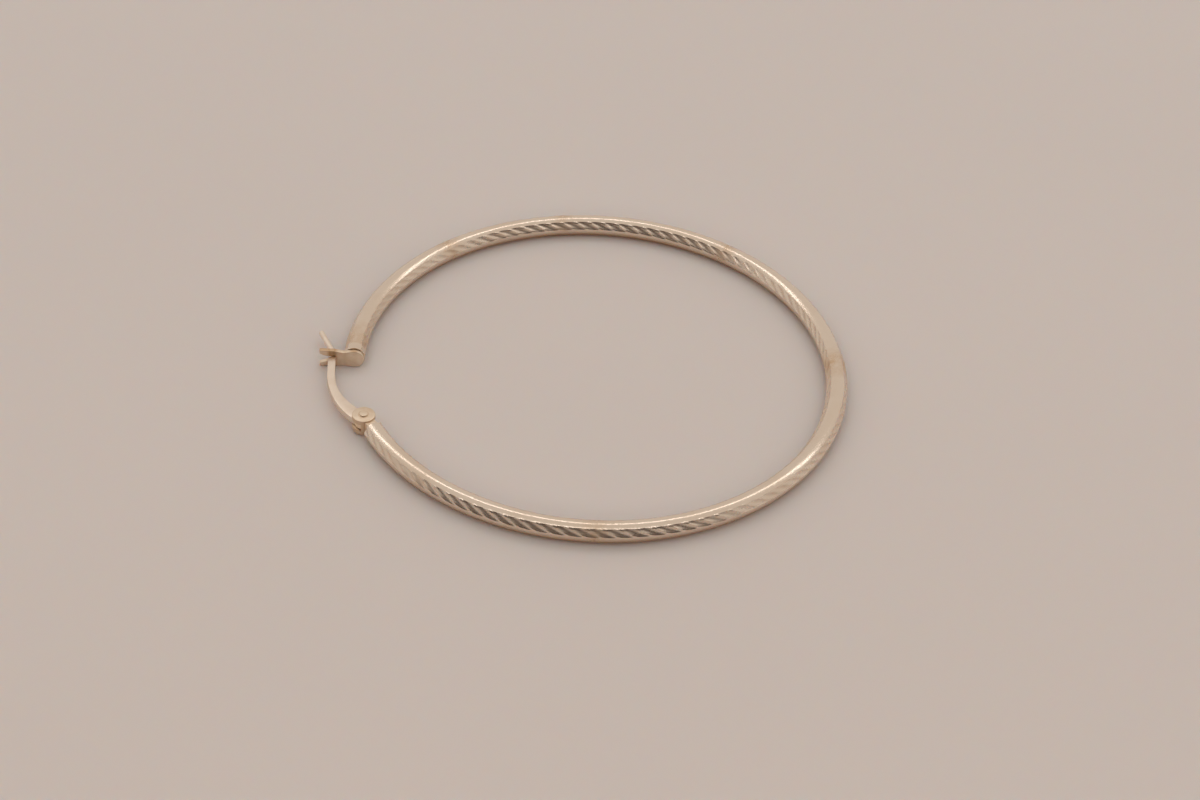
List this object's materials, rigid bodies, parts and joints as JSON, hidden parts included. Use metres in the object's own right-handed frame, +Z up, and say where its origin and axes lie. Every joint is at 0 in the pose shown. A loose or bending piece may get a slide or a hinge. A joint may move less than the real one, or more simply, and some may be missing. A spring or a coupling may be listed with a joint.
{
  "type": "hoop earring",
  "caption": "Large round hoop earring of tube with three rows of cut flutes and a hinged ear wire that clicks into a notched catch plate.",
  "frame": {"origin": "under the middle of the whole earring's box, on the surface that the hoop lies on", "axes": "+Z up, square to the hoop's plane; the clasp is at the -X side; +Y runs from the hinge towards the catch"},
  "size_m": [0.0528, 0.05, 0.002],
  "materials": {
    "fluted_silver": "diamond-cut sterling silver, bright with a warm tarnish",
    "fitting_silver": "satin sterling silver, tarnished to a pale gold",
    "wire_silver": "plain polished sterling silver"
  },
  "bodies": {
    "hoop": {"hoop_tube": "fluted_silver", "hinge_fork": "fitting_silver", "hinge_rivet": "fitting_silver", "catch": "fitting_silver"},
    "wire": {"ear_wire": "wire_silver"}
  },
  "joints": [
    {"name": "wire_hinge", "type": "hinge", "parent": "hoop", "child": "wire", "pos_m": [-0.02046, -0.01061, 0.00098], "axis": [0, 0, 1], "range_deg": [0, 70]}
  ]
}
